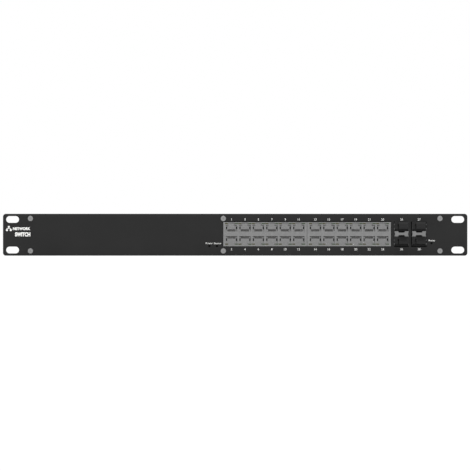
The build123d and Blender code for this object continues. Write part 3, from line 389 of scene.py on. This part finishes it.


# The jack bodies' grey turns to painted shade 14.3 mm behind the shields' front.
blacken_behind(jack_plastic, 14.3)
# The contacts' gold is darkened well below a metal's own shine, as painted shade in the contact
# comb.
gold = plated("thin_gold_contact_painted_shade", "#4a4437", "#565042", 0.5, 0.45)
yellow_window = grain(
    "smoky_yellow_lamp_window",
    "#3c3b27",
    "#454430",
    size_mm=0.8,
    depth_mm=0.002,
    roughness=0.6,
    specular_ior_level=0.15,
)
green_window = grain(
    "smoky_green_lamp_window",
    "#364131",
    "#3e4939",
    size_mm=0.8,
    depth_mm=0.002,
    roughness=0.6,
    specular_ior_level=0.15,
)
dress(can_plate, "jack_shield_left", "jack_shield_right")
dress(jack_plastic, "jack_housing_left", "jack_housing_right")
dress(gold, "jack_contacts_left", "jack_contacts_right")
dress(yellow_window, "jack_lenses_yellow")
dress(green_window, "jack_lenses_green")


# Module cages: folded tin-plated sheet, and latch tongues of the same sheet, painted near-black as
# painted shade inside the bays. A brighter bow-tie bracket crosses the middle of each, and a plain
# steel clip with springy fingers sits over its mouth. Each holds a black board receptacle at its
# back.

# The cage sheet's tin grey is painted near-black, as painted shade inside the bays.
shaded_cage_sheet = plated("tin_sheet_painted_shade", "#1c1c1c", "#242424", 2.0, 0.7)
dress(shaded_cage_sheet, "module_cage_left", "module_cage_right", "cage_latches")
bracket_plate = plated("satin_nickel_bracket", "#6b6b6b", "#757575", 2.0, 0.66)
dress(bracket_plate, "cage_bezel_left", "cage_bezel_right")
clip_steel = plated("plain_steel_clip", "#606060", "#6c6c6c", 1.0, 0.66)
dress(clip_steel, "cage_collars")
black_moulding = grain(
    "black_glass_filled_nylon",
    "#161616",
    "#1c1c1c",
    size_mm=0.4,
    depth_mm=0.01,
    roughness=0.55,
)
dress(black_moulding, "module_connectors", "reset_switch_body", "power_inlet")


# Dust plugs: soft black moulded plastic with a fine spark-eroded grain. The reset plunger and the
# lamp holders are painted near-black with no shine, as painted shade down their holes.

plug_plastic = grain(
    "spark_grained_black_plastic",
    "#1d1d1d",
    "#212121",
    size_mm=0.25,
    depth_mm=0.015,
    roughness=0.75,
    specular_ior_level=0.15,
)
dress(
    plug_plastic,
    "dust_plug_upper_left",
    "dust_plug_lower_left",
    "dust_plug_upper_right",
    "dust_plug_lower_right",
)
# Near-black with no shine on the plunger and lamp holders: painted shade down their holes.
hole_shade_black = grain(
    "hole_painted_shade_black",
    "#050505",
    "#070707",
    size_mm=0.3,
    depth_mm=0.01,
    roughness=0.8,
    specular_ior_level=0.0,
)
dress(hole_shade_black, "reset_button", "indicators")


# Boards: glass-epoxy laminate under a green solder mask, whose copper tracks show as paler lines,
# and a brown paper laminate for the power supply. Their cut edges have no lacquer, so they are dull,
# and they are painted near-black as painted shade.

def board_finish(name, base, track, pitch_mm):
    """A lacquered board: rows of track of a real pitch, broken up by a coarse cell pattern. Where
    its surface stands upright, it is a cut edge, dull and painted near-black as painted shade."""
    cell_mm, filled, upright = 14.0, 0.45, 0.5
    material, tree, shader, place = start_material(name, specular_ior_level=0.3)
    rows = add_node(
        tree,
        "ShaderNodeTexBrick",
        {
            "Vector": place,
            "Scale": 1 / (pitch_mm * MM),
            "Mortar Size": 0.12,
            "Brick Width": 6.0,
            "Row Height": 1.0,
            "Color1": linear(base),
            "Color2": linear(base),
            "Mortar": linear(track),
        },
    )
    cells = add_node(
        tree, "ShaderNodeTexVoronoi", {"Vector": place, "Scale": 1 / (cell_mm * MM)}
    )
    shown = add_node(
        tree, "ShaderNodeMath", {0: cells.outputs["Distance"], 1: filled}, operation="LESS_THAN"
    )
    colour = add_node(
        tree,
        "ShaderNodeMix",
        {"Factor": shown.outputs[0], 6: linear(base), 7: rows.outputs["Color"]},
        data_type="RGBA",
    )
    faces = add_node(
        tree,
        "ShaderNodeSeparateXYZ",
        {"Vector": add_node(tree, "ShaderNodeNewGeometry").outputs["Normal"]},
    )
    lying = add_node(tree, "ShaderNodeMath", {0: faces.outputs["Z"]}, operation="ABSOLUTE")
    edge = add_node(
        tree, "ShaderNodeMath", {0: lying.outputs[0], 1: upright}, operation="LESS_THAN"
    )
    # Upright cut edges are painted near-black as painted shade.
    edge_shade = add_node(
        tree,
        "ShaderNodeMix",
        {"Factor": edge.outputs[0], 6: colour.outputs[2], 7: linear("#060606")},
        data_type="RGBA",
    )
    shine = add_node(
        tree, "ShaderNodeMapRange", {"Value": edge.outputs[0], "To Min": 0.3, "To Max": 0.95}
    )
    tree.links.new(edge_shade.outputs[2], shader.inputs["Base Color"])
    tree.links.new(shine.outputs["Result"], shader.inputs["Roughness"])
    return material


dress(board_finish("green_solder_mask", "#0d4a2a", "#1c6b3e", 1.2), "main_board")
dress(board_finish("brown_paper_laminate", "#8a6234", "#a07845", 2.4), "psu_board")


# Parts on the boards: moulded epoxy chips, black anodised and plain heatsinks, sleeved capacitors,
# ferrite, and white nylon pins and headers.

chip_epoxy = grain(
    "moulded_chip_epoxy", "#1b1c1e", "#222326", size_mm=0.15, depth_mm=0.006, roughness=0.6
)
dress(chip_epoxy, "switch_chip", "line_chips", "small_chips", "psu_transistors")
black_anodised = plated("black_anodised_aluminium", "#1a1b1d", "#232427", 1.5, 0.5, metallic=0.6)
dress(black_anodised, "switch_heatsink", "line_heatsinks")
plain_aluminium = plated("extruded_aluminium", "#a9abad", "#c0c2c4", 1.0, 0.4)
dress(plain_aluminium, "psu_heatsinks")
spring_wire = plated("bright_spring_steel", "#8d8f91", "#a5a7a9", 0.5, 0.3)
dress(spring_wire, "heatsink_springs", "reset_dome")
white_nylon = grain(
    "natural_white_nylon", "#d2cfc4", "#dedbd1", size_mm=0.4, depth_mm=0.01, roughness=0.45
)
dress(white_nylon, "heatsink_pins", "wire_headers")
sleeve = grain(
    "blue_black_shrink_sleeve", "#141a26", "#1a2232", size_mm=1.5, depth_mm=0.01, roughness=0.25
)
dress(sleeve, "board_capacitors", "psu_capacitors")
ferrite = grain(
    "sintered_ferrite", "#2c2c2e", "#3a3a3c", size_mm=0.3, depth_mm=0.02, roughness=0.7
)
dress(ferrite, "board_inductors", "psu_filter")
winding_tape = grain(
    "yellow_polyester_tape", "#b98a1c", "#c99a2a", size_mm=2.0, depth_mm=0.01, roughness=0.3
)
dress(winding_tape, "psu_transformer")
film = grain(
    "milky_polyester_film", "#b9b9b2", "#c6c6bf", size_mm=2.0, depth_mm=0.005, roughness=0.25
)
dress(film, "psu_insulator")
pad = grain("soft_silicone_pad", "#7486a0", "#8294ac", size_mm=0.3, depth_mm=0.02, roughness=0.8)
dress(pad, "thermal_pad")
fuse_tube = grain(
    "fuse_glass_and_caps", "#b8bcbc", "#cdd1d1", size_mm=2.0, depth_mm=0.002, roughness=0.12
)
dress(fuse_tube, "psu_fuse")


# Back wall pieces: nickel-plated brass blades in the inlet, a nickel-plated earthing stud, and
# wires with soft insulation, black for mains and supply, green for earth.

nickel_brass = plated("nickel_plated_brass", "#a8a296", "#bdb8ad", 0.8, 0.3)
dress(nickel_brass, "inlet_blades")


def threaded_stud(name, low, high):
    """The earthing stud between its corners: a round head, a thick root, and a free end with an M4
    thread. The thread's groove is a triangle wave along the stud, shifted by a pitch in each turn
    and cut flat at its root. It fades in from the shoulder and ends in the chamfered tip."""
    head_end, root_end = low[1] + 1.58 * MM, low[1] + 6.6 * MM
    head_r, root_r, free_r = 4.5 * MM, 2.6 * MM, 1.99 * MM
    pitch, depth, flat_root = 0.7 * MM, 0.38 * MM, 1.25
    fade, tip = 0.5 * MM, 0.45 * MM
    around, along = 48, 81
    thread_y = np.linspace(root_end, high[1], along)
    plain_y = np.array([low[1], head_end, head_end, root_end])
    plain_r = np.array([head_r, head_r, root_r, root_r])
    turn = np.linspace(0, 2 * np.pi, around, endpoint=False)
    phase = ((thread_y[:, None] - root_end) / pitch - turn / (2 * np.pi)) % 1.0
    groove = np.clip(depth * flat_root * (1 - np.abs(2 * phase - 1)), 0, depth)
    faded_in = np.clip((thread_y[:, None] - root_end) / fade, 0, 1)
    chamfer = np.clip(thread_y[:, None] - high[1] + tip, 0, None)
    thread_r = free_r - np.maximum(groove * faded_in, chamfer)
    y = np.concatenate([plain_y, thread_y])[:, None] + np.zeros(around)
    radius = np.concatenate([plain_r[:, None] + np.zeros(around), thread_r])
    axis_x, axis_z = (low[0] + high[0]) / 2, (low[2] + high[2]) / 2
    rings = np.stack([axis_x + radius * np.cos(turn), y, axis_z + radius * np.sin(turn)], axis=-1)
    ends = np.array([[axis_x, low[1], axis_z], [axis_x, high[1], axis_z]])
    places = np.concatenate([rings.reshape(-1, 3), ends])
    ring = np.arange(around)
    following = (ring + 1) % around
    first = np.arange(len(rings) - 1)[:, None] * around
    corners = [first + ring, first + around + ring, first + around + following, first + following]
    faces = np.stack(corners, axis=-1).reshape(-1, 4).tolist()
    last = (len(rings) - 1) * around
    inner, outer = len(places) - 2, len(places) - 1
    faces += [(inner, a, b) for a, b in zip(ring.tolist(), following.tolist())]
    faces += [(outer, last + b, last + a) for a, b in zip(ring.tolist(), following.tolist())]
    mesh = bpy.data.meshes.new(name)
    mesh.from_pydata(places.tolist(), [], faces)
    tidy = bmesh.new()
    tidy.from_mesh(mesh)
    bmesh.ops.recalc_face_normals(tidy, faces=tidy.faces)
    tidy.to_mesh(mesh)
    tidy.free()
    mesh.materials.append(nickel_brass)
    piece = bpy.data.objects.new(name, mesh)
    bpy.context.collection.objects.link(piece)
    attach(piece, "root")
    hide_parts("ground_stud")
    return piece


threaded_stud("threaded_earth_stud", *(np.array(corner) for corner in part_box("ground_stud")))
black_wire = grain(
    "black_soft_insulation", "#151515", "#1c1c1c", size_mm=0.6, depth_mm=0.01, roughness=0.5
)
earth_wire = grain(
    "green_soft_insulation", "#2b6a1e", "#357a27", size_mm=0.6, depth_mm=0.01, roughness=0.5
)
dress(black_wire, "mains_wires", "supply_harness")
dress(earth_wire, "ground_wire")


# Stage: a pale matt floor, a bright room that the camera sees as white, a soft sun straight down
# for the floor, and a soft sun from near the camera.

FLOOR_HALF = 60.0
floor_mesh = bpy.data.meshes.new("floor")
corners = [(-FLOOR_HALF, -FLOOR_HALF, 0), (FLOOR_HALF, -FLOOR_HALF, 0)]
corners += [(FLOOR_HALF, FLOOR_HALF, 0), (-FLOOR_HALF, FLOOR_HALF, 0)]
floor_mesh.from_pydata(corners, [], [(0, 1, 2, 3)])
floor = bpy.data.objects.new("floor", floor_mesh)
bpy.context.collection.objects.link(floor)
floor_paint, _, floor_shader, _ = start_material("pale_matt_floor", roughness=0.9)
floor_shader.inputs["Base Color"].default_value = linear("#e6e6e6")
floor_mesh.materials.append(floor_paint)

ROOM_SEEN, ROOM_LIGHT = 1.0, 0.35
world = bpy.data.worlds.new("bright_room")
bpy.context.scene.world = world
world.use_nodes = True
room = world.node_tree
room.nodes.clear()
ray = add_node(room, "ShaderNodeLightPath")
strength = add_node(
    room,
    "ShaderNodeMapRange",
    {"Value": ray.outputs["Is Camera Ray"], "To Min": ROOM_LIGHT, "To Max": ROOM_SEEN},
)
glow = add_node(
    room, "ShaderNodeBackground", {"Color": (1, 1, 1, 1), "Strength": strength.outputs["Result"]}
)
add_node(room, "ShaderNodeOutputWorld", {"Surface": glow.outputs["Background"]})


def soft_sun(name, direction, strength, spread_degrees):
    """A distant soft light that shines along a direction."""
    lamp = bpy.data.lights.new(name, "SUN")
    lamp.energy = strength
    lamp.angle = math.radians(spread_degrees)
    holder = bpy.data.objects.new(name, lamp)
    holder.rotation_euler = Vector(direction).to_track_quat("-Z", "Y").to_euler()
    bpy.context.collection.objects.link(holder)


soft_sun("overhead", (0, 0, -1), 3.0, 30)
soft_sun("near_camera", (-0.02, 1, -0.055), 2.0, 4)


# Camera: straight on, far away with a long lens, so that lines stay parallel.

VIEW_WIDTH = 488.4 * MM
LEFT_OF_MIDDLE, BELOW_MIDDLE = 0.19 * MM, 0.28 * MM
SENSOR, LENS = 36.0, 1000.0
distance = VIEW_WIDTH * LENS / SENSOR
camera_data = bpy.data.cameras.new("camera")
camera_data.sensor_width = SENSOR
camera_data.lens = LENS
camera_data.clip_end = 200.0
camera = bpy.data.objects.new("camera", camera_data)
camera.location = (-LEFT_OF_MIDDLE, plate_front - distance, plate_middle_z - BELOW_MIDDLE)
camera.rotation_euler = (math.pi / 2, 0, 0)
bpy.context.collection.objects.link(camera)
bpy.context.scene.camera = camera
bpy.context.scene.view_settings.view_transform = "Standard"
